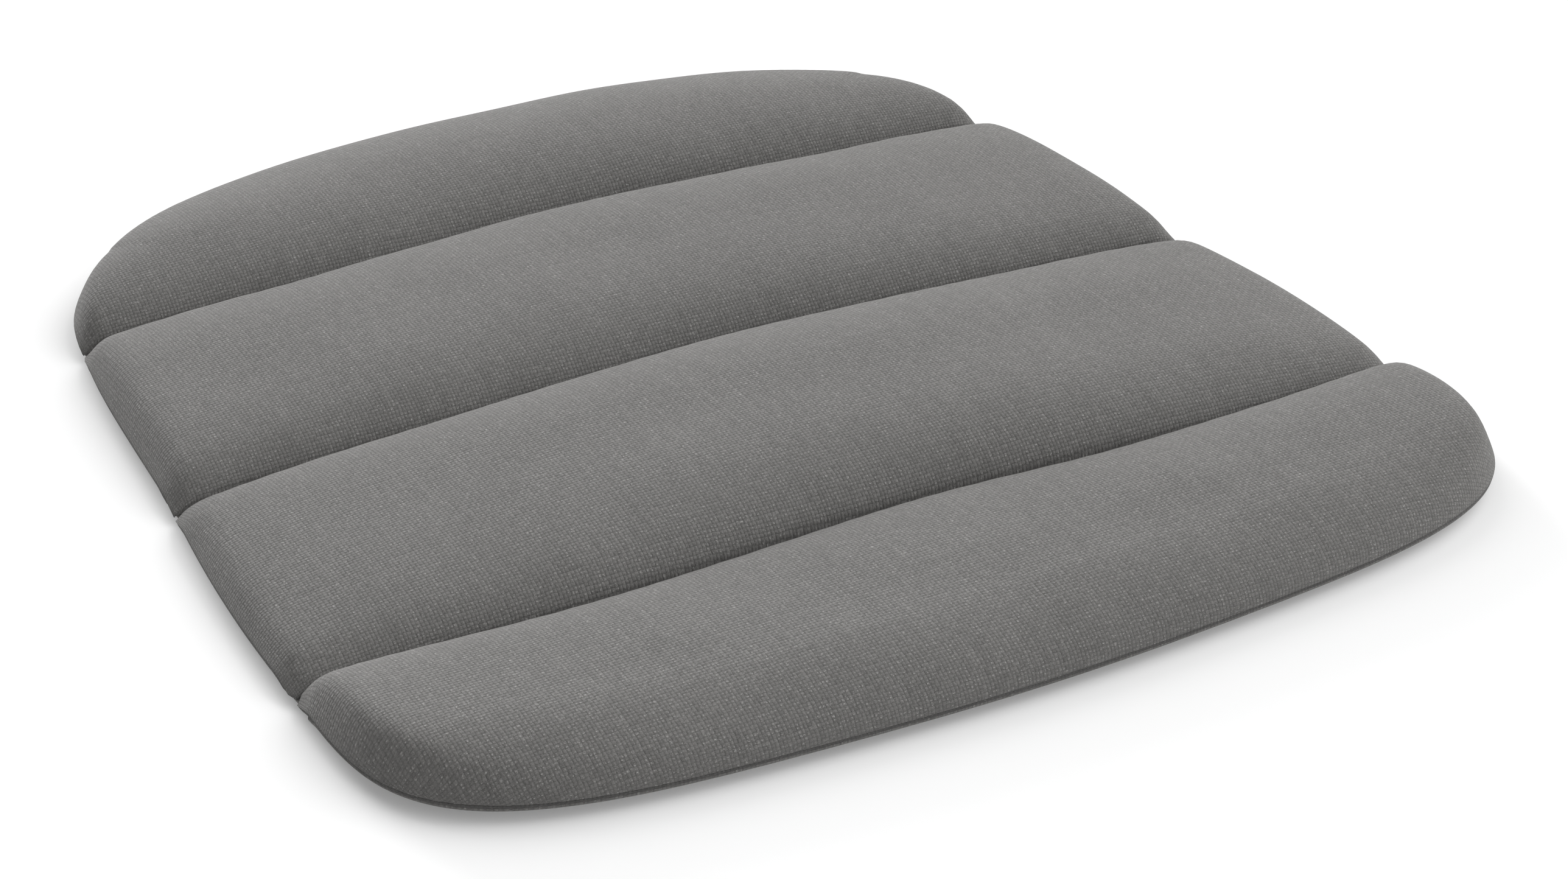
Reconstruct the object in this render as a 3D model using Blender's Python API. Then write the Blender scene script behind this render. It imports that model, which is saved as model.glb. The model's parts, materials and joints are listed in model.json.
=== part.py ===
"""Channel-quilted pad: four soft rolls in woven covers, joined by three sewn seams.

The pad lies flat on the ground. X runs along the rolls, -Y is the near edge, Z is up.
The origin is at the centre of the underside. Each roll is one body; the three seams
between the rolls are fabric hinges.
"""
import math

import bmesh
import bpy

# Plan shape, metres: a blunt near edge, a rounder far edge, sides closing in to the back.
HALF_DEPTH = 0.2356
HALF_WIDTH = 0.2133
SIDE_TAPER = 0.0673
NEAR_EDGE_POWERS = (9.32, 0.384)
FAR_EDGE_POWERS = (5.12, 0.408)

# The three sewn seams, which are the hinge axes.
SEAM_FRONT_Y = -0.1259
SEAM_MIDDLE_Y = 0.0059
SEAM_BACK_Y = 0.1319
AXIS_Z = 0.003

# Section of a roll.
EDGE_TOP_Z = 0.0207
PAD_CROWN = 0.0065
CROWN_DEPTH_SHARE = 0.8
ROLL_CROWN = 0.0012
SEAM_FLANK = 0.042
EDGE_FLANK = 0.020
SPINE_MARGIN = 0.060
FLANK_ANGLES = (0, 18, 38, 62, 90)
PANEL_ANGLES = (0, 35, 90)

# Layers.
FABRIC = 0.0012
GAP = 0.0003
WADDING = 0.004
FOAM_INSET = 0.007
FOAM_BOTTOM_Z = 0.0018
PANEL = 0.0011
PANEL_TURN = 0.014

# Where the covers and the underside panels end, over the seams and around the edge.
COVER_BASE_AT_SEAM = 0.0032
COVER_BASE_AT_EDGE = 0.0051
COVER_SEAM_CLEARANCE = 0.0009
PANEL_RIM_AT_SEAM = 0.0016
PANEL_RIM_AT_EDGE = 0.0024
PANEL_SEAM_CLEARANCE = 0.0026

# Joined edges (seam allowance) and seam threads.
ALLOWANCE_BOTTOM_Z = 0.0038
ALLOWANCE_TOP_Z = 0.0048
ALLOWANCE_WIDTH = 0.006
CORNER_STEP = 0.006
THREAD_RADIUS = 0.0004
THREAD_END = 0.004
THREAD_SIDES = 8

# Colour and roughness of each material.
FINISHES = {
    "woven_fabric": ((0.19, 0.185, 0.18), 0.9),
    "underside_fabric": ((0.12, 0.118, 0.115), 0.85),
    "foam": ((0.62, 0.6, 0.52), 0.95),
    "wadding": ((0.85, 0.85, 0.83), 0.98),
    "seam_allowance": ((0.15, 0.147, 0.143), 0.9),
    "thread": ((0.1, 0.1, 0.1), 0.7),
}

# Mesh density and accuracy.
SPINE_STATIONS = 9
SIDE_POINTS = 3
CORNER_POINTS = 6
WELD = 1e-6
LONGEST_REACH = 0.5
REACH_HALVINGS = 50

ROLLS = (
    ("front", None, SEAM_FRONT_Y),
    ("mid_front", SEAM_FRONT_Y, SEAM_MIDDLE_Y),
    ("mid_back", SEAM_MIDDLE_Y, SEAM_BACK_Y),
    ("back", SEAM_BACK_Y, None),
)
SEAMS = (("front", SEAM_FRONT_Y), ("middle", SEAM_MIDDLE_Y), ("back", SEAM_BACK_Y))


def clear_scene():
    for item in list(bpy.data.objects):
        bpy.data.objects.remove(item, do_unlink=True)


def make_material(name):
    colour, roughness = FINISHES[name]
    made = bpy.data.materials.new(name)
    made.use_nodes = True
    shader = made.node_tree.nodes["Principled BSDF"]
    shader.inputs["Base Color"].default_value = (*colour, 1.0)
    shader.inputs["Roughness"].default_value = roughness
    shader.inputs["Metallic"].default_value = 0.0
    return made


def half_width(y):
    """Half the pad's width at depth y."""
    share = min(abs(y) / HALF_DEPTH, 1.0)
    inner, outer = NEAR_EDGE_POWERS if y < 0 else FAR_EDGE_POWERS
    return (HALF_WIDTH - SIDE_TAPER * y) * (1.0 - share ** inner) ** outer


def top_height(x, y, middle_y, half_pitch):
    """Height of the upholstered top, domed over the pad and a little over each roll."""
    dome = 1.0 - (x / HALF_WIDTH) ** 2 - CROWN_DEPTH_SHARE * (y / HALF_DEPTH) ** 2
    across = min(abs(y - middle_y) / half_pitch, 1.0)
    return EDGE_TOP_Z + PAD_CROWN * max(dome, 0.0) + ROLL_CROWN * (1.0 - across ** 2)


def reach(origin, direction, low, high):
    """Distance from origin along direction to the outline or to the seam lines."""
    near, far = 0.0, LONGEST_REACH
    for _ in range(REACH_HALVINGS):
        middle = (near + far) / 2
        x = origin[0] + direction[0] * middle
        y = origin[1] + direction[1] * middle
        inside = low < y < high and abs(x) < half_width(y)
        near, far = (middle, far) if inside else (near, middle)
    return near


class Roll:
    """Plan of one roll: a spine, and boundary points that each look at a spine point."""

    def __init__(self, name, front_seam, back_seam):
        self.name = name
        self.low = -HALF_DEPTH if front_seam is None else front_seam
        self.high = HALF_DEPTH if back_seam is None else back_seam
        self.has_front_seam = front_seam is not None
        self.has_back_seam = back_seam is not None
        self.middle_y = (self.low + self.high) / 2
        self.half_pitch = (self.high - self.low) / 2
        self.spine_end = half_width(self.middle_y) - SPINE_MARGIN
        self.points = self.boundary()

    def hit(self, spine_x, direction, kind):
        spine = (spine_x, self.middle_y)
        length = math.hypot(*direction)
        unit = (direction[0] / length, direction[1] / length)
        return {"spine": spine, "unit": unit, "kind": kind,
                "length": reach(spine, unit, self.low, self.high)}

    def toward(self, x, y, kind):
        return self.hit(self.spine_end, (x - self.spine_end, y - self.middle_y), kind)

    def quarter(self, sign, has_seam):
        """Points from straight out over the spine end to the middle of the side."""
        edge_y = self.high if sign > 0 else self.low
        found = []
        if has_seam:
            corner_x = half_width(edge_y)
            halfway = (self.spine_end + corner_x) / 2
            found.append(self.toward(halfway, edge_y, "seam"))
            found.append(self.toward(corner_x, edge_y, "corner"))
            step_y = edge_y - sign * CORNER_STEP
            found.append(self.toward(half_width(step_y), step_y, "edge"))
            for index in range(SIDE_POINTS):
                y = step_y + (self.middle_y - step_y) * (index + 1) / (SIDE_POINTS + 1)
                found.append(self.toward(half_width(y), y, "edge"))
            return found
        for index in range(CORNER_POINTS):
            angle = math.radians(90.0 * (1.0 - (index + 1) / (CORNER_POINTS + 1)))
            direction = (math.cos(angle), sign * math.sin(angle))
            found.append(self.hit(self.spine_end, direction, "edge"))
        return found

    def boundary(self):
        """Closed loop of boundary points, anticlockwise from the near left."""
        stations = [self.spine_end * (2 * i / (SPINE_STATIONS - 1) - 1) for i in range(SPINE_STATIONS)]
        front_kind = "seam" if self.has_front_seam else "edge"
        back_kind = "seam" if self.has_back_seam else "edge"
        front = [self.hit(x, (0, -1), front_kind) for x in stations]
        back = [self.hit(x, (0, 1), back_kind) for x in reversed(stations)]
        right = self.quarter(-1, self.has_front_seam)
        right.append(self.hit(self.spine_end, (1, 0), "edge"))
        right += reversed(self.quarter(1, self.has_back_seam))
        left = [dict(point, spine=(-point["spine"][0], point["spine"][1]),
                     unit=(-point["unit"][0], point["unit"][1])) for point in reversed(right)]
        return front + right + back + left

    def place(self, point, inset):
        travel = point["length"] - inset
        return (point["spine"][0] + point["unit"][0] * travel,
                point["spine"][1] + point["unit"][1] * travel)

    def edge_run(self, keep):
        """Consecutive boundary points on the pad's outline that pass the keep test."""
        count = len(self.points)
        chosen = [p["kind"] == "edge" and keep(self.place(p, 0.0)) for p in self.points]
        start = next((i for i in range(count) if chosen[i] and not chosen[i - 1]), 0)
        run = []
        for step in range(count):
            index = (start + step) % count
            if not chosen[index]:
                break
            run.append(self.points[index])
        return run


def by_kind(point, at_seam, at_edge):
    return at_edge if point["kind"] == "edge" else at_seam


def flank_width(point):
    if point["kind"] == "corner":
        return (SEAM_FLANK + EDGE_FLANK) / 2
    return by_kind(point, SEAM_FLANK, EDGE_FLANK)


def soft_rings(roll, depth):
    """Rings of the domed upholstery, depth metres under the cover's outer surface."""
    rings = []
    for angle in FLANK_ANGLES:
        turn = math.radians(angle)
        ring = []
        for point in roll.points:
            clearance = by_kind(point, COVER_SEAM_CLEARANCE, 0.0)
            base = by_kind(point, COVER_BASE_AT_SEAM, COVER_BASE_AT_EDGE)
            run = clearance + flank_width(point) * (1.0 - math.cos(turn))
            surface_x, surface_y = roll.place(point, run)
            top = top_height(surface_x, surface_y, roll.middle_y, roll.half_pitch)
            x, y = roll.place(point, run + depth * math.cos(turn))
            ring.append((x, y, base + (top - base - depth) * math.sin(turn)))
        rings.append(ring)
    rings.append([(x, y, top_height(x, y, roll.middle_y, roll.half_pitch) - depth)
                  for x, y in (point["spine"] for point in roll.points)])
    return rings


class Skin:
    """Collects faces with shared vertices."""

    def __init__(self):
        self.mesh = bmesh.new()
        self.index = {}

    def vertex(self, place):
        key = tuple(round(value / WELD) for value in place)
        if key not in self.index:
            self.index[key] = self.mesh.verts.new(place)
        return self.index[key]

    def face(self, places):
        corners = []
        for place in places:
            vertex = self.vertex(place)
            if vertex not in corners:
                corners.append(vertex)
        if len(corners) > 2:
            self.mesh.faces.new(corners)

    def band(self, lower, upper):
        count = len(lower)
        for i in range(count):
            j = (i + 1) % count
            self.face((lower[i], lower[j], upper[j]))
            self.face((lower[i], upper[j], upper[i]))

    def rise(self, rings):
        for lower, upper in zip(rings, rings[1:]):
            self.band(lower, upper)

    def finish(self, name, made_material, smooth):
        bmesh.ops.recalc_face_normals(self.mesh, faces=self.mesh.faces)
        data = bpy.data.meshes.new(name)
        self.mesh.to_mesh(data)
        self.mesh.free()
        data.materials.append(made_material)
        for polygon in data.polygons:
            polygon.use_smooth = smooth
        item = bpy.data.objects.new(name, data)
        bpy.context.scene.collection.objects.link(item)
        return item


def set_origin(item, pivot):
    """Move an object's origin to pivot without moving its surface."""
    for vertex in item.data.vertices:
        vertex.co = (vertex.co.x - pivot[0], vertex.co.y - pivot[1], vertex.co.z - pivot[2])
    item.location = pivot


def make_shell(name, roll, outer_depth, thickness, made_material):
    """An open-bottomed domed layer: a cover or a wadding cap."""
    outer = soft_rings(roll, outer_depth)
    inner = soft_rings(roll, outer_depth + thickness)
    skin = Skin()
    skin.rise(outer)
    skin.rise(inner)
    skin.band(inner[0], outer[0])
    return skin.finish(name, made_material, True)


def make_cover(roll, made_material):
    return make_shell("cover_" + roll.name, roll, 0.0, FABRIC, made_material)


def make_wadding(roll, made_material):
    return make_shell("wadding_" + roll.name, roll, FABRIC + GAP, WADDING, made_material)


def make_foam(roll, made_material):
    """A foam strip with a flat bottom and a domed top, cut narrower than its pocket."""
    rings = soft_rings(roll, FOAM_INSET)
    bottom = [(x, y, FOAM_BOTTOM_Z) for x, y, _ in rings[0]]
    skin = Skin()
    skin.face(list(reversed(bottom)))
    skin.rise([bottom] + rings)
    return skin.finish("foam_" + roll.name, made_material, False)


def make_underside(roll, made_material):
    """The bottom panel: flat where it rests, turned up to the seams all round."""
    lower, upper = [], []
    for angle in PANEL_ANGLES:
        turn = math.radians(angle)
        ring = []
        for point in roll.points:
            clearance = by_kind(point, PANEL_SEAM_CLEARANCE, 0.0)
            rim = by_kind(point, PANEL_RIM_AT_SEAM, PANEL_RIM_AT_EDGE)
            x, y = roll.place(point, clearance + PANEL_TURN * (1.0 - math.cos(turn)))
            ring.append((x, y, rim * (1.0 - math.sin(turn))))
        lower.append(ring)
        upper.append([(x, y, z + PANEL) for x, y, z in ring])
    skin = Skin()
    skin.rise(lower)
    skin.face(lower[-1])
    skin.rise(upper)
    skin.face(upper[-1])
    skin.band(lower[0], upper[0])
    return skin.finish("underside_" + roll.name, made_material, True)


def make_edge_seam(name, roll, run, made_material):
    """The joined edges of cover and underside: a flat strip turned inwards."""
    sections = []
    for point in run:
        outer = roll.place(point, 0.0)
        inner = roll.place(point, ALLOWANCE_WIDTH)
        sections.append([(*outer, ALLOWANCE_BOTTOM_Z), (*outer, ALLOWANCE_TOP_Z),
                         (*inner, ALLOWANCE_TOP_Z), (*inner, ALLOWANCE_BOTTOM_Z)])
    skin = Skin()
    skin.rise(sections)
    skin.face(sections[0])
    skin.face(list(reversed(sections[-1])))
    return skin.finish(name, made_material, False)


def make_edge_seams(roll, made_material):
    name = "edge_seam_" + roll.name
    if not (roll.has_front_seam and roll.has_back_seam):
        return [make_edge_seam(name, roll, roll.edge_run(lambda place: True), made_material)]
    left = roll.edge_run(lambda place: place[0] < 0)
    right = roll.edge_run(lambda place: place[0] > 0)
    return [make_edge_seam(name + "_left", roll, left, made_material),
            make_edge_seam(name + "_right", roll, right, made_material)]


def make_thread(name, y, made_material):
    """The line of stitching that draws cover and underside together along a seam."""
    end = half_width(y) - THREAD_END
    angles = [2 * math.pi * i / THREAD_SIDES for i in range(THREAD_SIDES)]
    section = [(THREAD_RADIUS * math.cos(a), AXIS_Z + THREAD_RADIUS * math.sin(a)) for a in angles]
    ends = [[(x, y + dy, z) for dy, z in section] for x in (-end, end)]
    skin = Skin()
    skin.rise(ends)
    skin.face(ends[0])
    skin.face(list(reversed(ends[1])))
    return skin.finish(name, made_material, True)


def pivot_of(roll):
    """The hinge that carries a roll; the roll in front of the middle carries the rest."""
    return {"front": (0.0, SEAM_FRONT_Y, AXIS_Z),
            "mid_front": (0.0, 0.0, 0.0),
            "mid_back": (0.0, SEAM_MIDDLE_Y, AXIS_Z),
            "back": (0.0, SEAM_BACK_Y, AXIS_Z)}[roll.name]


def build():
    clear_scene()
    finish = {name: make_material(name) for name in FINISHES}
    for name, front_seam, back_seam in ROLLS:
        roll = Roll(name, front_seam, back_seam)
        made = [make_cover(roll, finish["woven_fabric"]),
                make_wadding(roll, finish["wadding"]),
                make_foam(roll, finish["foam"]),
                make_underside(roll, finish["underside_fabric"])]
        made += make_edge_seams(roll, finish["seam_allowance"])
        for item in made:
            set_origin(item, pivot_of(roll))
    for name, y in SEAMS:
        item = make_thread("seam_thread_" + name, y, finish["thread"])
        set_origin(item, (0.0, y, AXIS_Z))


build()
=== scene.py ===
"""Looks of the channel-quilted pad: woven covers, undersides, joined edges, seams and stitches."""

import json
import math

import bmesh
import bpy
import numpy as np
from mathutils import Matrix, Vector, kdtree

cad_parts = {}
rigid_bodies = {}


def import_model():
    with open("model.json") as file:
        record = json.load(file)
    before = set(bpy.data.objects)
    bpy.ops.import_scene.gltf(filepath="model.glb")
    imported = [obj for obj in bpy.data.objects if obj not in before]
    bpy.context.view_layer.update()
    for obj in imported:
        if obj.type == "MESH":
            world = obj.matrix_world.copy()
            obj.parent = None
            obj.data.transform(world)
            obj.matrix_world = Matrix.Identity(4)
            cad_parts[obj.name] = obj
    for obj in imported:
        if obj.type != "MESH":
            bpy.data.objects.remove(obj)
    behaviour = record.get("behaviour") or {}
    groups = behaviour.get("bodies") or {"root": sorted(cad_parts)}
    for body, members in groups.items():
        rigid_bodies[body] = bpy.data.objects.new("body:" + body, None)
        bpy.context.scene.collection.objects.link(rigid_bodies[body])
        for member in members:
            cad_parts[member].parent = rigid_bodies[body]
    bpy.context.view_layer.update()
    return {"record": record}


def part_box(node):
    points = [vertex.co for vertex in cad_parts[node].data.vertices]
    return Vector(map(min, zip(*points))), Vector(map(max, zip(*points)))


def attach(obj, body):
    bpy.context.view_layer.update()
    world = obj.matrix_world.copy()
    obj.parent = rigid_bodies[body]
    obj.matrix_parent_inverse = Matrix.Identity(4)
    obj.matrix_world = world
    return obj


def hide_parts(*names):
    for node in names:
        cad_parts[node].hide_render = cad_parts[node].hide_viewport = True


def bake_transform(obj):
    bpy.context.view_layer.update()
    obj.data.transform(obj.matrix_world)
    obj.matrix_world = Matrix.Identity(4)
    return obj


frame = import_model()

# Plan of the pad, metres. The depth comes from the frame, the rest is the outline's rule.
HALF_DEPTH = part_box("cover_back")[1][1]
HALF_WIDTH = 0.2133
SIDE_TAPER = 0.0673
NEAR_EDGE_POWERS = (9.32, 0.384)
FAR_EDGE_POWERS = (5.12, 0.408)
OUTLINE_POINTS = 1400
RAY_REACH = 0.5
RAY_HALVINGS = 44
BULGE_POWER = 0.8
LAST_BULGE_DEPTH = 0.055

# The near edge waves a little, from this depth on and fully after the fade.
NEAR_WAVE = 0.0008
NEAR_WAVE_LENGTH = 0.190
NEAR_WAVE_START = -0.13
NEAR_WAVE_FADE = 0.08

# Section of a cover: height of its rim, then the flanks that rise from edges and seams.
RIM_AT_EDGE = 0.0066
RIM_AT_SEAM = 0.0032
RIM_BLEND = 0.015
COVER_LIP = 0.0004
EDGE_GROOVE = 0.0009
SIDE_FLANK = 0.0155
FAR_FLANK = 0.0522
NEAR_FLANK = 0.0360
EDGE_POWER = 1.83
END_FACE = 0.0062
END_SHOULDER = 3.5
SEAM_FLANK = 0.0550
SEAM_WALL = 0.20
SEAM_POWER = 2.40
GROOVE_SLOPE = 9.0
CROWN_POWER = 2.6
PINCH = 0.0005
SPINE_MARGIN = 0.060

# Section of an underside: its clearance from the hinge axis, and its turned-up rim.
PANEL_CLEARANCE = 0.0030
PANEL_TURN = 0.0225
PANEL_LIP = 0.0006
PANEL_DROP = 0.0013
PANEL_INSET = 0.0002
PANEL_SLACK = 0.002
CORNER_TUCK = 0.0022
CORNER_REACH = 0.0045

# Welt along the joined edges.
WELT_RADIUS = 0.0006
WELT_INSET = 0.0007
WELT_DROP = 0.0006
WELT_STOP = 0.0008
ON_EDGE = 0.0003
TUBE_SIDES = 8
TUBE_TIP = 0.35
TUBE_SHOULDER = 0.8

# Mesh density.
SPINE_STATIONS = 91
FAN_RAYS = 40
TOP_RINGS = 30
UNDER_RINGS = 14
WEB_STATIONS = 241
WEB_COLUMNS = 13

# Small irregularities of hand-filled cloth: swells of several lengths and directions,
# and puckers beside the seams, with a wandering spacing.
SWELL = 0.00045
SWELL_LENGTH = 0.16
SWELL_COUNT = 5
GOLDEN_ANGLE = 2.399
PUCKER = 0.00016
PUCKER_REACH = 0.014
PUCKER_LENGTH = 0.0135
PUCKER_WANDER = 3.0
PUCKER_WANDER_RATE = 61.0
FLANK_HEIGHT = 0.017

# Stitched channel and stitches. A stitch's profile is (place along it, thickness).
WEB_HALF = 0.006
WEB_TOP = 0.0034
WEB_BOTTOM = 0.0023
WEB_END = 0.0012
TOP_DIP = 0.0006
BOTTOM_DIP = 0.0004
STITCH_DENT = 0.0004
DIP_WIDTH = 0.22
STITCH_PITCH = 0.0036
STITCH_LENGTH = 0.0028
STITCH_RADIUS = 0.00034
STITCH_FLATNESS = 0.8
STITCH_SIDES = 8
STITCH_PROFILE = ((-0.5, 0.3), (-0.36, 0.85), (-0.12, 1.0), (0.12, 1.0), (0.36, 0.85), (0.5, 0.3))
STITCH_END = 0.004
STITCH_TOP = WEB_TOP - 0.00045
STITCH_BOTTOM = WEB_BOTTOM + 0.00025

# Weave: yarn spacing, how far yarns wander, how dark the painted shade in the gaps is, and
# how much the tone varies from yarn to yarn, from crossing to crossing, along a yarn, in the fibres and
# overall.
YARN = 0.0014
SWAY = 0.0014
YARN_ROUND = 2.7
YARN_ARCH = 1.9
PAINTED_GAP_SHADE = 0.80
YARN_SPREAD = 0.05
CROSSING_SPREAD = 0.07
SLUB_SPREAD = 0.11
FIBRE_SPREAD = 0.42
CLOUD_SPREAD = 0.035
FIBRES_PER_YARN = (3.2, 4.2)
FLECKS_PER_YARN = (3.0, 4.0)
RELIEF = 0.00035

# Cloths as (colour, colour of the pale fibres, contrast), and the thread's colour.
CLOTHS = {
    "woven_fabric": ((0.149, 0.146, 0.141), (0.345, 0.34, 0.33), 1.0),
    "underside_fabric": ((0.140, 0.137, 0.132), (0.30, 0.295, 0.285), 0.8),
    "seam_allowance": ((0.10, 0.098, 0.095), (0.2, 0.197, 0.19), 0.6),
}
THREAD = (0.07, 0.069, 0.067)

# Studio: even light from all round, soft lights as (elevation, azimuth, strength, spread), and
# the camera. Angles are in degrees; azimuth turns from the pad's back towards its right.
AMBIENT = 0.30
FLOOR_TONE = 0.70
FLOOR_GLOW = 0.20
FLOOR_HALF = 6.0
FLOOR_DROP = 0.0004
LIGHTS = {
    "low_back": (12.0, 0.0, 2.07, 20.0),
    "back": (35.0, 0.0, 1.13, 40.0),
    "right": (35.0, 90.0, 1.60, 60.0),
    "high_right": (65.0, 90.0, 0.61, 60.0),
    "right_front": (35.0, 135.0, 0.78, 60.0),
}
CAMERA_TARGET = (0.0022, -0.0482, 0.0)
CAMERA_DISTANCE = 1.348
CAMERA_AZIMUTH = 209.30
CAMERA_ELEVATION = 29.90
LENS = 85.0
SENSOR = 36.0

# Each seam bows between its ends and waves a little: height of the bow, height and length
# of the wave. The hinge's place and bodies come from the frame.
SEAMS = {
    "front_seam_fold": {"bow": -0.0001, "wave": 0.0022, "length": 0.222},
    "middle_seam_fold": {"bow": 0.0066, "wave": 0.0013, "length": 0.213},
    "back_seam_fold": {"bow": 0.0056, "wave": 0.0018, "length": 0.204},
}
for joint in frame["record"]["behaviour"]["joints"]:
    SEAMS[joint["name"]]["y"] = joint["pos_m"][1]
    SEAMS[joint["name"]]["z"] = joint["pos_m"][2]
    SEAMS[joint["name"]]["bodies"] = (joint["parent"], joint["child"])

# Each roll: its seams to the front and the back, its height along its ends and above
# them in the middle, and how far its ends bulge.
ROLLS = {
    "front": {"seams": (None, "front_seam_fold"),
              "top": 0.0226, "crown": 0.0, "bulge": 0.0},
    "mid_front": {"seams": ("front_seam_fold", "middle_seam_fold"),
                  "top": 0.0155, "crown": 0.0120, "bulge": 0.0029},
    "mid_back": {"seams": ("middle_seam_fold", "back_seam_fold"),
                 "top": 0.0174, "crown": 0.0099, "bulge": 0.0},
    "back": {"seams": ("back_seam_fold", None),
             "top": 0.0190, "crown": 0.0090, "bulge": 0.0022},
}


# ---------------------------------------------------------------- plan

def half_width(y):
    """Half the pad's width at depth y, before the rolls' ends bulge."""
    share = np.minimum(np.abs(y) / HALF_DEPTH, 1.0)
    near = (1.0 - share ** NEAR_EDGE_POWERS[0]) ** NEAR_EDGE_POWERS[1]
    far = (1.0 - share ** FAR_EDGE_POWERS[0]) ** FAR_EDGE_POWERS[1]
    return (HALF_WIDTH - SIDE_TAPER * y) * np.where(y < 0, near, far)


def bulge(y):
    """How far the sides stand out between the ends of two seams."""
    out = np.zeros_like(y)
    for roll in ROLLS.values():
        front, back = roll["seams"]
        if front and roll["bulge"]:
            low = SEAMS[front]["y"]
            high = SEAMS[back]["y"] if back else low + LAST_BULGE_DEPTH
            across = np.clip((y - low) / (high - low), 0.0, 1.0)
            out += roll["bulge"] * np.sin(math.pi * across) ** BULGE_POWER
    return out


def near_share(y):
    """0 over most of the pad, rising to 1 at the near edge."""
    return np.clip((NEAR_WAVE_START - y) / NEAR_WAVE_FADE, 0.0, 1.0)


def inside_outline(x, y):
    """Whether a place lies inside the pad's outline, with its waving near edge."""
    y = y + NEAR_WAVE * near_share(y) * np.cos(2 * math.pi * x / NEAR_WAVE_LENGTH)
    return (np.abs(y) < HALF_DEPTH) & (np.abs(x) < half_width(y) + bulge(y))


def cast(start_x, start_y, step_x, step_y, inside):
    """Distance along each ray to the edge of the region that inside() accepts."""
    near, far = np.zeros_like(step_x), np.full_like(step_x, RAY_REACH)
    for _ in range(RAY_HALVINGS):
        middle = (near + far) / 2
        hit = inside(start_x + step_x * middle, start_y + step_y * middle)
        near, far = np.where(hit, middle, near), np.where(hit, far, middle)
    return near


def make_outline():
    """The pad's outline as points at even angles, anticlockwise."""
    turn = np.linspace(0, 2 * math.pi, OUTLINE_POINTS, endpoint=False)
    along = cast(0.0, 0.0, np.cos(turn), np.sin(turn), inside_outline)
    return np.stack([along * np.cos(turn), along * np.sin(turn)], 1)


OUTLINE = make_outline()
OUTLINE_TREE = kdtree.KDTree(OUTLINE_POINTS)
for number, place in enumerate(OUTLINE):
    OUTLINE_TREE.insert((*place, 0.0), number)
OUTLINE_TREE.balance()


def edge_distance(points):
    """Distance of each point to the outline, and the outward direction there."""
    nearest = np.array([OUTLINE_TREE.find((x, y, 0.0))[1] for x, y in points])
    distance = np.full(len(points), np.inf)
    outward = np.zeros((len(points), 2))
    for first in (nearest - 1, nearest):
        start = OUTLINE[first]
        run = OUTLINE[(first + 1) % OUTLINE_POINTS] - start
        length2 = (run ** 2).sum(1)
        share = np.clip(((points - start) * run).sum(1) / length2, 0, 1)
        gap = np.hypot(*(points - start - share[:, None] * run).T)
        closer = gap < distance
        normal = np.stack([run[:, 1], -run[:, 0]], 1) / np.sqrt(length2)[:, None]
        outward = np.where(closer[:, None], normal, outward)
        distance = np.minimum(gap, distance)
    return distance, outward


def seam_line(x, name):
    """Depth of a seam at x: straight on average, with a slight bow and a wave."""
    seam = SEAMS[name]
    share = x / half_width(np.array(seam["y"]))
    line = seam["y"] + seam["bow"] * (1.0 / 3.0 - share ** 2)
    return line + seam["wave"] * np.cos(2 * math.pi * x / seam["length"])


def straight_seam(x, name):
    """Depth of the hinge axis under a seam."""
    return np.full_like(x, SEAMS[name]["y"])


# ---------------------------------------------------------------- roll surface

def flank(distance, width, power):
    """Rise from 0 at a seam or edge to 1 at width from it, upright where it starts."""
    return np.sqrt(1.0 - (1.0 - np.clip(distance / width, 0.0, 1.0)) ** power)


def edge_flank_width(outward):
    """The ends' flanks are narrow, those of the near and far edges wide."""
    near, far = np.clip(-outward[:, 1], 0, 1) ** 2, np.clip(outward[:, 1], 0, 1) ** 2
    return SIDE_FLANK + (NEAR_FLANK - SIDE_FLANK) * near + (FAR_FLANK - SIDE_FLANK) * far


def end_share(outward):
    """1 where the edge looks along the rolls, 0 at the near and far edges."""
    return np.clip(np.abs(outward[:, 0]), 0, 1) ** 2


def edge_rise(distance, outward):
    """Rise from the outline: round at the near and far edges, a leaning face at the ends."""
    round_rise = flank(distance, edge_flank_width(outward), EDGE_POWER)
    face = np.maximum(distance, 1e-7) / END_FACE
    face_rise = (1.0 + face ** -END_SHOULDER) ** (-1.0 / END_SHOULDER)
    share = end_share(outward)
    return round_rise * (1.0 - share) + face_rise * share


def seam_rise(distance):
    """Rise beside a seam, where neighbouring rolls press together over the channel."""
    return SEAM_WALL + (1.0 - SEAM_WALL) * flank(distance, SEAM_FLANK, SEAM_POWER)


def waves(x, y, seed):
    """Smooth uneven swelling, about -1 to 1."""
    total = np.zeros_like(x)
    for k in range(SWELL_COUNT):
        angle = seed * 1.7 + k * GOLDEN_ANGLE
        length = SWELL_LENGTH / (1.0 + 0.45 * k)
        phase = seed * 3.1 + k * 1.3
        total += np.sin(2 * math.pi * (x * math.cos(angle) + y * math.sin(angle)) / length + phase)
    return total / 3.0


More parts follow.
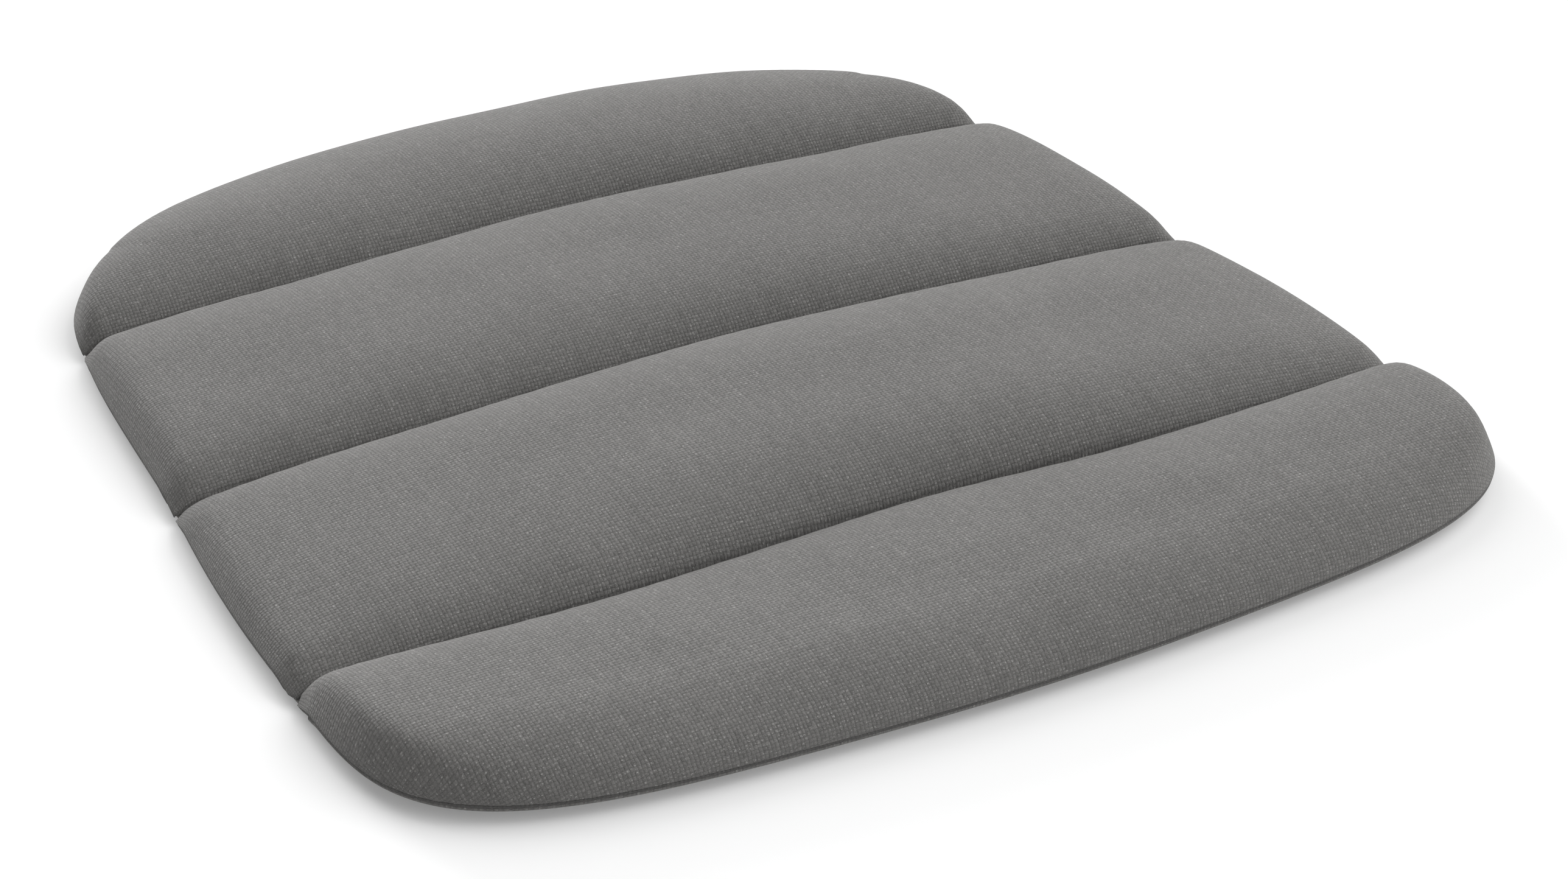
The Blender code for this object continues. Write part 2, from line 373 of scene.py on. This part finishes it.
class Plan:
    """A roll's boundary and spine, sampled along rays, with seam and edge distances."""

    def __init__(self, name, seam_depth=seam_line, clearance=PINCH):
        self.name = name
        self.seam_depth = seam_depth
        self.clearance = clearance
        self.front, self.back = ROLLS[name]["seams"]
        low = SEAMS[self.front]["y"] if self.front else -HALF_DEPTH
        high = SEAMS[self.back]["y"] if self.back else HALF_DEPTH
        self.middle = (low + high) / 2
        self.end = float(half_width(np.array(self.middle))) - SPINE_MARGIN
        stations = np.linspace(-self.end, self.end, SPINE_STATIONS)
        turn = np.linspace(-math.pi / 2, math.pi / 2, 2 * FAN_RAYS + 1)[1:-1]
        spine = np.concatenate([stations, np.full(len(turn), self.end),
                                stations[::-1], np.full(len(turn), -self.end)])
        across = np.concatenate([np.zeros(len(stations)), np.cos(turn),
                                 np.zeros(len(stations)), -np.cos(turn)])
        along = np.concatenate([-np.ones(len(stations)), np.sin(turn),
                                np.ones(len(stations)), -np.sin(turn)])
        self.spine = np.stack([spine, np.full(len(spine), self.middle)], 1)
        self.unit = np.stack([across, along], 1)
        self.length = cast(spine, self.middle, across, along, self.inside)

    def inside(self, x, y):
        """Whether a place lies on this roll, clear of its seams."""
        kept = inside_outline(x, y)
        if self.front:
            kept &= y > self.seam_depth(x, self.front) + self.clearance
        if self.back:
            kept &= y < self.seam_depth(x, self.back) - self.clearance
        return kept

    def ring(self, inset):
        """Boundary moved inwards by inset (a number, or one per point)."""
        return self.spine + self.unit * (self.length - inset)[:, None]

    def share_ring(self, share):
        """Boundary moved inwards by a share of the way to the spine."""
        return self.spine + self.unit * (self.length * (1.0 - share))[:, None]

    def seam_distance(self, points):
        """Distances to the front and back seams, large where there is none."""
        far = np.full(len(points), 1.0)
        x, y = points.T
        front, back = far, far
        if self.front:
            front = np.maximum(y - self.seam_depth(x, self.front) - self.clearance, 0)
        if self.back:
            back = np.maximum(self.seam_depth(x, self.back) - self.clearance - y, 0)
        return front, back

    def rim_height(self, points):
        """Height of the joined edge: lower beside the seams."""
        front, back = self.seam_distance(points)
        near = np.clip(np.minimum(front, back) / RIM_BLEND, 0, 1)
        return RIM_AT_SEAM + (RIM_AT_EDGE - RIM_AT_SEAM) * near * near * (3 - 2 * near)


def top_surface(plan, points, edge, outward):
    """Height of the stuffed cover over plan points."""
    x, y = points.T
    roll = ROLLS[plan.name]
    front, back = plan.seam_distance(points)
    rim = plan.rim_height(points)
    crown = roll["crown"] * (1.0 - np.minimum(np.abs(x) / HALF_WIDTH, 1.0) ** CROWN_POWER)
    top = roll["top"] + crown + SWELL * waves(x, y, 1.0 + len(plan.name))
    rise = edge_rise(edge, outward)
    rise = rise * seam_rise(front) * seam_rise(back)
    near_seam = np.exp(-(np.minimum(front, back) / PUCKER_REACH) ** 2)
    wander = PUCKER_WANDER * np.sin(x * PUCKER_WANDER_RATE)
    gathers = np.sin(2 * math.pi * x / PUCKER_LENGTH + wander)
    height = np.minimum((top - rim) * rise, GROOVE_SLOPE * np.minimum(front, back))
    return rim + height + PUCKER * near_seam * gathers * rise


def extra_length(distance, width, power):
    """Cloth used up by going down a flank, beyond the plan distance."""
    steps = 1.0 - np.cos(np.linspace(0, math.pi / 2, 80))
    height = flank(steps, 1.0, power) * FLANK_HEIGHT
    mean_width = float(np.mean(width))
    piece = np.hypot(np.diff(steps) * mean_width, np.diff(height)) - np.diff(steps) * mean_width
    left = np.concatenate([np.cumsum(piece[::-1])[::-1], [0.0]])
    return np.interp(np.clip(distance / width, 0, 1), steps, left)


def weave_coordinates(plan, points, edge, outward):
    """Where each point lies on the flat cloth, in metres."""
    front, back = plan.seam_distance(points)
    cloth = points + outward * extra_length(edge, edge_flank_width(outward), EDGE_POWER)[:, None]
    cloth[:, 1] -= extra_length(front, SEAM_FLANK, SEAM_POWER)
    cloth[:, 1] += extra_length(back, SEAM_FLANK, SEAM_POWER)
    return cloth


# ---------------------------------------------------------------- mesh helpers

def add_object(data):
    """An object in the scene for a mesh, a light or a camera."""
    item = bpy.data.objects.new(data.name, data)
    bpy.context.scene.collection.objects.link(item)
    return item


def clean(data, merge):
    """Faces outwards and smooth, with touching points joined on request."""
    work = bmesh.new()
    work.from_mesh(data)
    if merge:
        bmesh.ops.remove_doubles(work, verts=work.verts, dist=1e-6)
        bmesh.ops.dissolve_degenerate(work, dist=1e-7, edges=work.edges)
    bmesh.ops.recalc_face_normals(work, faces=work.faces)
    work.to_mesh(data)
    work.free()
    data.shade_smooth()


def ring_mesh(name, rings, cloth, close_start, close_end):
    """A closed mesh from rings of equal length, with a cloth map."""
    count = len(rings[0])
    vertices = np.concatenate(rings)
    uv = np.concatenate(cloth)
    faces = []
    index = np.arange(count)
    following = np.roll(index, -1)
    for k in range(len(rings) - 1):
        low, high = k * count, (k + 1) * count
        quads = np.stack([low + index, low + following, high + following, high + index], 1)
        faces += quads.tolist()
    if close_start:
        faces.append(index[::-1].tolist())
    if close_end:
        faces.append(((len(rings) - 1) * count + index).tolist())
    data = bpy.data.meshes.new(name)
    data.from_pydata(vertices.tolist(), [], faces)
    layer = data.uv_layers.new(name="cloth")
    corners = np.empty(len(data.loops), np.int32)
    data.loops.foreach_get("vertex_index", corners)
    layer.data.foreach_set("uv", uv[corners].ravel().astype(np.float32))
    clean(data, merge=True)
    return add_object(data)


def add_z(points, height):
    """Plan points with a height, or one height each."""
    return np.column_stack([points, np.broadcast_to(height, len(points))])


# ---------------------------------------------------------------- pieces

def make_cover(plan):
    """The stuffed cover of one roll, closed inside at the joined edge."""
    rings, cloth = [], []
    rim_ring = plan.ring(EDGE_GROOVE)
    edge, outward = edge_distance(rim_ring)
    rings.append(add_z(rim_ring, plan.rim_height(rim_ring) - COVER_LIP))
    cloth.append(weave_coordinates(plan, rim_ring, edge, outward))
    for k in range(TOP_RINGS + 1):
        share = 1.0 - math.cos(math.pi / 2 * k / TOP_RINGS)
        points = plan.share_ring(share)
        edge, outward = edge_distance(points)
        rings.append(add_z(points, top_surface(plan, points, edge, outward)))
        cloth.append(weave_coordinates(plan, points, edge, outward))
    return ring_mesh("cloth_cover_" + plan.name, rings, cloth, True, False)


def make_underside(plan):
    """The bottom panel of one roll: turned up to the joined edge, flat where it rests."""
    boundary = plan.ring(0.0)
    front, back = plan.seam_distance(boundary)
    corner = CORNER_TUCK * np.exp(-(np.minimum(front, back) / CORNER_REACH) ** 2)
    rim = plan.rim_height(boundary)
    rings, cloth = [], []
    rim_ring = plan.ring(EDGE_GROOVE + corner)
    rings.append(add_z(rim_ring, plan.rim_height(rim_ring) - PANEL_LIP))
    cloth.append(rim_ring)
    for k in range(UNDER_RINGS + 1):
        angle = math.pi / 2 * k / UNDER_RINGS
        inset = PANEL_INSET + PANEL_TURN * (1.0 - math.cos(angle))
        left = 1.0 - math.sin(angle)
        rings.append(add_z(plan.ring(inset + corner), (rim - PANEL_DROP) * left))
        cloth.append(plan.ring(inset - PANEL_SLACK * left))
    return ring_mesh("cloth_underside_" + plan.name, rings, cloth, True, True)


def tube(name, path, radius):
    """A closed tube along a path of points, thinner at its tips."""
    path = np.asarray(path, float)
    tangent = np.gradient(path, axis=0)
    tangent /= np.linalg.norm(tangent, axis=1)[:, None]
    side = np.cross(tangent, [0, 0, 1])
    side /= np.linalg.norm(side, axis=1)[:, None]
    up = np.cross(side, tangent)
    taper = np.ones(len(path))
    taper[[0, -1]] = TUBE_TIP
    taper[[1, -2]] = TUBE_SHOULDER
    around = np.linspace(0, 2 * math.pi, TUBE_SIDES, endpoint=False)
    length = np.concatenate([[0], np.cumsum(np.linalg.norm(np.diff(path, axis=0), axis=1))])
    rings, cloth = [], []
    for k in range(len(path)):
        offset = np.cos(around)[:, None] * side[k] + np.sin(around)[:, None] * up[k]
        rings.append(path[k] + offset * radius * taper[k])
        cloth.append(np.column_stack([np.full(TUBE_SIDES, length[k]), around * radius]))
    return ring_mesh(name, rings, cloth, True, True)


def make_edges(plan):
    """The joined edges of cover and underside: a narrow welt in the groove between them."""
    boundary = plan.ring(WELT_INSET)
    front, back = plan.seam_distance(boundary)
    on_edge = edge_distance(plan.ring(0.0))[0] < ON_EDGE
    on_edge &= np.minimum(front, back) > WELT_STOP
    count = len(boundary)
    starts = [i for i in range(count) if on_edge[i] and not on_edge[i - 1]]
    made = []
    height = plan.rim_height(boundary) - WELT_DROP
    for start in starts:
        run = []
        while on_edge[(start + len(run)) % count] and len(run) < count:
            run.append((start + len(run)) % count)
        side = ""
        if len(starts) > 1:
            side = "_left" if boundary[run[0], 0] < 0 else "_right"
        path = add_z(boundary[run], height[run])
        made.append((tube("welt_" + plan.name + side, path, WELT_RADIUS), side))
    return made


def seam_end(name):
    """Half the length of a seam."""
    return float(half_width(np.array(SEAMS[name]["y"])))


def make_web(name):
    """The flat channel where cover and underside are stitched together."""
    end = seam_end(name) - WEB_END
    x = np.linspace(-end, end, WEB_STATIONS)
    line = seam_line(x, name)
    dent = STITCH_DENT * np.abs(np.cos(math.pi * x / STITCH_PITCH))
    across = np.linspace(-1, 1, WEB_COLUMNS)

    def row(share, height, dip):
        depth = np.exp(-(share / DIP_WIDTH) ** 2)
        return np.column_stack([x, line + share * WEB_HALF, height + dip * depth])

    rows = [row(share, WEB_TOP, dent - TOP_DIP) for share in across]
    rows += [row(share, WEB_BOTTOM, BOTTOM_DIP - dent) for share in across[::-1]]
    rings = np.stack(rows, 1)
    return ring_mesh("seam_channel_" + name.replace("_fold", ""), rings, rings[:, :, :2], True, True)


def stitch_template():
    """One stitch along X: a slim closed bead."""
    turns = np.linspace(0, 2 * math.pi, STITCH_SIDES, endpoint=False)
    rings = []
    for along, thick in STITCH_PROFILE:
        radius = thick * STITCH_RADIUS
        rings.append(np.column_stack([np.full(STITCH_SIDES, along * STITCH_LENGTH),
                                      np.cos(turns) * radius,
                                      np.sin(turns) * radius * STITCH_FLATNESS]))
    return np.concatenate(rings)


def stitch_faces(first):
    """Faces of one stitch whose vertices start at first: two caps and the sides between."""
    last = first + (len(STITCH_PROFILE) - 1) * STITCH_SIDES
    faces = [list(range(first + STITCH_SIDES - 1, first - 1, -1)),
             list(range(last, last + STITCH_SIDES))]
    for ring in range(first, last, STITCH_SIDES):
        for side in range(STITCH_SIDES):
            a, b = ring + side, ring + (side + 1) % STITCH_SIDES
            faces.append([a, b, b + STITCH_SIDES, a + STITCH_SIDES])
    return faces


def make_stitches(name):
    """A row of lockstitches on the top and on the underside of one seam."""
    end = seam_end(name) - STITCH_END
    bead = stitch_template()
    step = 0.001
    vertices, faces = [], []
    for height in (STITCH_TOP, STITCH_BOTTOM):
        for x in np.arange(-end, end, STITCH_PITCH):
            y = seam_line(np.array([x, x + step]), name)
            placed = bead + (x, y[0], height)
            placed[:, 1] += bead[:, 0] * (y[1] - y[0]) / step
            faces += stitch_faces(len(vertices) * len(bead))
            vertices.append(placed)
    data = bpy.data.meshes.new("stitches_" + name.replace("_fold", ""))
    data.from_pydata(np.concatenate(vertices).tolist(), [], faces)
    clean(data, merge=False)
    return add_object(data)


# ---------------------------------------------------------------- materials

class Nodes:
    """A short way to write a node tree."""

    def __init__(self, made):
        made.use_nodes = True
        self.tree = made.node_tree
        self.shader = self.tree.nodes["Principled BSDF"]

    def add(self, kind, **settings):
        node = self.tree.nodes.new(kind)
        for key, value in settings.items():
            setattr(node, key, value)
        return node

    def link(self, source, target):
        if isinstance(source, (int, float, tuple)):
            target.default_value = source
        else:
            self.tree.links.new(source, target)

    def math(self, operation, first, second=0.0, third=0.0):
        node = self.add("ShaderNodeMath", operation=operation)
        self.link(first, node.inputs[0])
        self.link(second, node.inputs[1])
        self.link(third, node.inputs[2])
        return node.outputs[0]

    def times(self, first, second):
        return self.math("MULTIPLY", first, second)

    def remap(self, value, low, high, out_low, out_high):
        node = self.add("ShaderNodeMapRange")
        for source, target in zip((value, low, high, out_low, out_high), node.inputs):
            self.link(source, target)
        return node.outputs[0]

    def vector(self, x, y, z=0.0):
        node = self.add("ShaderNodeCombineXYZ")
        for source, target in zip((x, y, z), node.inputs):
            self.link(source, target)
        return node.outputs[0]

    def noise(self, vector, scale, detail=2.0, roughness=0.5):
        node = self.add("ShaderNodeTexNoise")
        self.link(vector, node.inputs["Vector"])
        node.inputs["Scale"].default_value = scale
        node.inputs["Detail"].default_value = detail
        node.inputs["Roughness"].default_value = roughness
        return node.outputs["Fac"]

    def random(self, vector):
        node = self.add("ShaderNodeTexWhiteNoise", noise_dimensions="3D")
        self.link(vector, node.inputs["Vector"])
        return node.outputs["Value"]

    def mix(self, share, first, second, blend="MIX"):
        node = self.add("ShaderNodeMix", data_type="RGBA", blend_type=blend)
        self.link(share, node.inputs["Factor"])
        self.link(first, node.inputs["A"])
        self.link(second, node.inputs["B"])
        return node.outputs["Result"]

    def bump(self, height, strength, distance):
        node = self.add("ShaderNodeBump")
        node.inputs["Strength"].default_value = strength
        node.inputs["Distance"].default_value = distance
        self.link(height, node.inputs["Height"])
        self.link(node.outputs[0], self.shader.inputs["Normal"])


def weave_height(nodes, u, v):
    """Plain weave: height of the upper yarn, which yarn it is, and the crossing's number."""
    cell_u, cell_v = nodes.math("FLOOR", u), nodes.math("FLOOR", v)
    parity = nodes.math("PINGPONG", nodes.math("ADD", cell_u, cell_v), 1.0)
    in_u = nodes.math("SUBTRACT", nodes.math("FRACT", u), 0.5)
    in_v = nodes.math("SUBTRACT", nodes.math("FRACT", v), 0.5)
    round_u = nodes.math("COSINE", nodes.times(in_u, YARN_ROUND))
    round_v = nodes.math("COSINE", nodes.times(in_v, YARN_ROUND))
    arch_u = nodes.math("COSINE", nodes.times(in_u, YARN_ARCH))
    arch_v = nodes.math("COSINE", nodes.times(in_v, YARN_ARCH))
    warp = nodes.times(round_u, arch_v)
    weft = nodes.times(round_v, arch_u)
    height = nodes.math("MULTIPLY_ADD", nodes.math("SUBTRACT", weft, warp), parity, warp)
    return height, parity, cell_u, cell_v


def swayed_cloth(nodes):
    """Place on the cloth in metres, and in yarns with the yarns wandering a little."""
    cloth = nodes.add("ShaderNodeUVMap", uv_map="cloth").outputs[0]
    drift = nodes.add("ShaderNodeTexNoise")
    nodes.link(cloth, drift.inputs["Vector"])
    drift.inputs["Scale"].default_value = 150.0
    drift.inputs["Detail"].default_value = 5.0
    drift.inputs["Roughness"].default_value = 0.7
    centred = nodes.add("ShaderNodeVectorMath", operation="SUBTRACT")
    nodes.link(drift.outputs["Color"], centred.inputs[0])
    centred.inputs[1].default_value = (0.5, 0.5, 0.5)
    moved = nodes.add("ShaderNodeVectorMath", operation="MULTIPLY_ADD")
    nodes.link(centred.outputs[0], moved.inputs[0])
    moved.inputs[1].default_value = (SWAY, SWAY, 0.0)
    nodes.link(cloth, moved.inputs[2])
    split = nodes.add("ShaderNodeSeparateXYZ")
    nodes.link(moved.outputs[0], split.inputs[0])
    u, v = nodes.math("DIVIDE", split.outputs[0], YARN), nodes.math("DIVIDE", split.outputs[1], YARN)
    return cloth, u, v


def melange_and_gap_shade(nodes, cloth, u, v, weave, fibre, contrast):
    """Uneven tone about 1, with painted shade in the gaps between yarns. The last numbers given to
    random() keep its patterns apart.
    """
    height, parity, cell_u, cell_v = weave
    other = nodes.math("SUBTRACT", 1.0, parity)
    row = nodes.random(nodes.vector(cell_v, 3.0, 1.0))
    column = nodes.random(nodes.vector(cell_u, 7.0, 2.0))
    of_yarn = nodes.math("MULTIPLY_ADD", row, parity, nodes.times(column, other))
    of_crossing = nodes.random(nodes.vector(cell_u, cell_v, 5.0))
    row_place = nodes.vector(nodes.times(u, 0.30), nodes.times(cell_v, 0.83))
    column_place = nodes.vector(nodes.times(cell_u, 0.83), nodes.times(v, 0.07))
    along_column = nodes.times(nodes.noise(column_place, 1.0), other)
    slub = nodes.math("MULTIPLY_ADD", nodes.noise(row_place, 1.0), parity, along_column)
    cloud = nodes.noise(cloth, 26.0, 3.0)
    # Painted shade: the tone is darker in the gaps between yarns and a little lighter on their tops.
    tone = nodes.remap(height, 0.1, 0.8, PAINTED_GAP_SHADE, 1.04)
    for value, low, high, spread in ((of_yarn, 0.0, 1.0, YARN_SPREAD),
                                     (of_crossing, 0.0, 1.0, CROSSING_SPREAD),
                                     (slub, 0.3, 0.7, SLUB_SPREAD),
                                     (fibre, 0.25, 0.75, FIBRE_SPREAD),
                                     (cloud, 0.3, 0.7, CLOUD_SPREAD)):
        reach = spread * contrast
        tone = nodes.times(tone, nodes.remap(value, low, high, 1.0 - reach, 1.0 + reach))
    return tone


def pale_share(nodes, u, v, height):
    """Where pale fibres show: a few small spots on top of the yarns."""
    spot_u = nodes.math("FLOOR", nodes.times(u, FLECKS_PER_YARN[0]))
    spot_v = nodes.math("FLOOR", nodes.times(v, FLECKS_PER_YARN[1]))
    spark = nodes.random(nodes.vector(spot_u, spot_v, 11.0))
    on_top = nodes.remap(height, 0.45, 0.9, 0.1, 1.0)
    return nodes.times(nodes.remap(spark, 0.88, 1.0, 0.0, 0.85), on_top)


def fabric(name, colour, fleck, contrast):
    """Melange plain weave: uneven yarns, pale fibres, painted shade in the gaps between yarns, and a
    little fuzz.
    """
    made = bpy.data.materials.new(name)
    nodes = Nodes(made)
    cloth, u, v = swayed_cloth(nodes)
    weave = weave_height(nodes, u, v)
    height = weave[0]
    fibre_place = nodes.vector(nodes.times(u, FIBRES_PER_YARN[0]), nodes.times(v, FIBRES_PER_YARN[1]))
    fibre = nodes.noise(fibre_place, 1.0, 3.0, 0.7)
    # tone holds the melange's uneven tone and the painted shade in the gaps between yarns.
    tone = melange_and_gap_shade(nodes, cloth, u, v, weave, fibre, contrast)
    base = nodes.mix(1.0, (*colour, 1.0), nodes.vector(tone, tone, tone), "MULTIPLY")
    pale = pale_share(nodes, u, v, height)
    nodes.link(nodes.mix(pale, base, (*fleck, 1.0)), nodes.shader.inputs["Base Color"])
    rough = nodes.remap(nodes.math("ADD", fibre, height), 0.4, 1.5, 0.98, 0.80)
    nodes.link(rough, nodes.shader.inputs["Roughness"])
    nodes.bump(nodes.math("MULTIPLY_ADD", fibre, 0.5, height), 0.7, RELIEF)
    nodes.shader.inputs["Sheen Weight"].default_value = 0.10
    nodes.shader.inputs["Sheen Roughness"].default_value = 0.5
    nodes.shader.inputs["Specular IOR Level"].default_value = 0.2
    return made


def thread_material(name, colour):
    """Twisted sewing thread."""
    made = bpy.data.materials.new(name)
    nodes = Nodes(made)
    place = nodes.add("ShaderNodeTexCoord").outputs["Object"]
    wave = nodes.add("ShaderNodeTexWave", wave_type="BANDS", bands_direction="DIAGONAL")
    nodes.link(place, wave.inputs["Vector"])
    wave.inputs["Scale"].default_value = 900.0
    wave.inputs["Distortion"].default_value = 1.0
    tone = nodes.remap(wave.outputs["Fac"], 0.0, 1.0, 0.6, 1.2)
    base = nodes.mix(1.0, (*colour, 1.0), nodes.vector(tone, tone, tone), "MULTIPLY")
    nodes.link(base, nodes.shader.inputs["Base Color"])
    nodes.link(nodes.remap(wave.outputs["Fac"], 0.0, 1.0, 0.75, 0.5), nodes.shader.inputs["Roughness"])
    nodes.bump(wave.outputs["Fac"], 0.5, 0.0001)
    return made


def paint(item, made):
    """Gives a piece its one material."""
    item.data.materials.clear()
    item.data.materials.append(made)


# ---------------------------------------------------------------- studio

def make_floor():
    """A plain pale floor that glows faintly, just under the pad."""
    data = bpy.data.meshes.new("studio_floor")
    corners = [(-1, -1), (1, -1), (1, 1), (-1, 1)]
    data.from_pydata([(x * FLOOR_HALF, y * FLOOR_HALF, 0) for x, y in corners], [], [(0, 1, 2, 3)])
    item = add_object(data)
    item.location.z = -FLOOR_DROP
    made = bpy.data.materials.new("studio_floor")
    nodes = Nodes(made)
    nodes.shader.inputs["Base Color"].default_value = (FLOOR_TONE, FLOOR_TONE, FLOOR_TONE, 1.0)
    nodes.shader.inputs["Roughness"].default_value = 0.9
    nodes.shader.inputs["Emission Color"].default_value = (1.0, 1.0, 1.0, 1.0)
    nodes.shader.inputs["Emission Strength"].default_value = FLOOR_GLOW
    paint(item, made)


def direction(elevation, azimuth):
    """Unit vector towards an elevation and azimuth in degrees."""
    level, turn = math.radians(elevation), math.radians(azimuth)
    return Vector((math.sin(turn) * math.cos(level), math.cos(turn) * math.cos(level), math.sin(level)))


def make_light(name, elevation, azimuth, strength, spread):
    """A distant soft light."""
    data = bpy.data.lights.new(name, "SUN")
    data.energy = strength
    data.angle = math.radians(spread)
    item = add_object(data)
    item.rotation_euler = direction(elevation, azimuth).to_track_quat("Z", "Y").to_euler()


def make_studio():
    """Floor, even light and soft lights."""
    make_floor()
    world = bpy.data.worlds.new("studio")
    bpy.context.scene.world = world
    world.use_nodes = True
    background = world.node_tree.nodes["Background"]
    background.inputs["Color"].default_value = (1.0, 1.0, 1.0, 1.0)
    background.inputs["Strength"].default_value = AMBIENT
    for name, (elevation, azimuth, strength, spread) in LIGHTS.items():
        make_light(name, elevation, azimuth, strength, spread)
    bpy.context.scene.view_settings.view_transform = "Standard"


def make_camera():
    """The camera at the photograph's angle."""
    back = direction(CAMERA_ELEVATION, CAMERA_AZIMUTH)
    data = bpy.data.cameras.new("camera")
    data.lens = LENS
    data.sensor_width = SENSOR
    item = add_object(data)
    item.location = Vector(CAMERA_TARGET) + back * CAMERA_DISTANCE
    item.rotation_euler = (-back).to_track_quat("-Z", "Y").to_euler()
    bpy.context.scene.camera = item


# ---------------------------------------------------------------- assembly

def build_roll(name, woven, backing, welt):
    """One roll: its cover, its underside and the welts of its joined edges."""
    body = "roll_" + name
    plan = Plan(name)
    cover = make_cover(plan)
    paint(cover, woven)
    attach(cover, body)
    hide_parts("cover_" + name, "wadding_" + name, "foam_" + name)
    underside = make_underside(Plan(name, straight_seam, PANEL_CLEARANCE))
    paint(underside, backing)
    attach(underside, body)
    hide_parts("underside_" + name)
    for edge, side in make_edges(plan):
        paint(edge, welt)
        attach(edge, body)
        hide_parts("edge_seam_" + name + side)


def build_seam(name, woven, thread):
    """One seam: its channel and its stitches, laid along the seam line between two rolls."""
    web = make_web(name)
    paint(web, woven)
    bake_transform(web)
    stitches = make_stitches(name)
    paint(stitches, thread)
    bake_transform(stitches)
    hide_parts("seam_thread_" + name.replace("_seam_fold", ""))


def build():
    """The whole pad."""
    woven, backing, welt = [fabric(name, *look) for name, look in CLOTHS.items()]
    thread = thread_material("thread", THREAD)
    for name in ROLLS:
        build_roll(name, woven, backing, welt)
    for name in SEAMS:
        build_seam(name, woven, thread)


build()
make_studio()
make_camera()
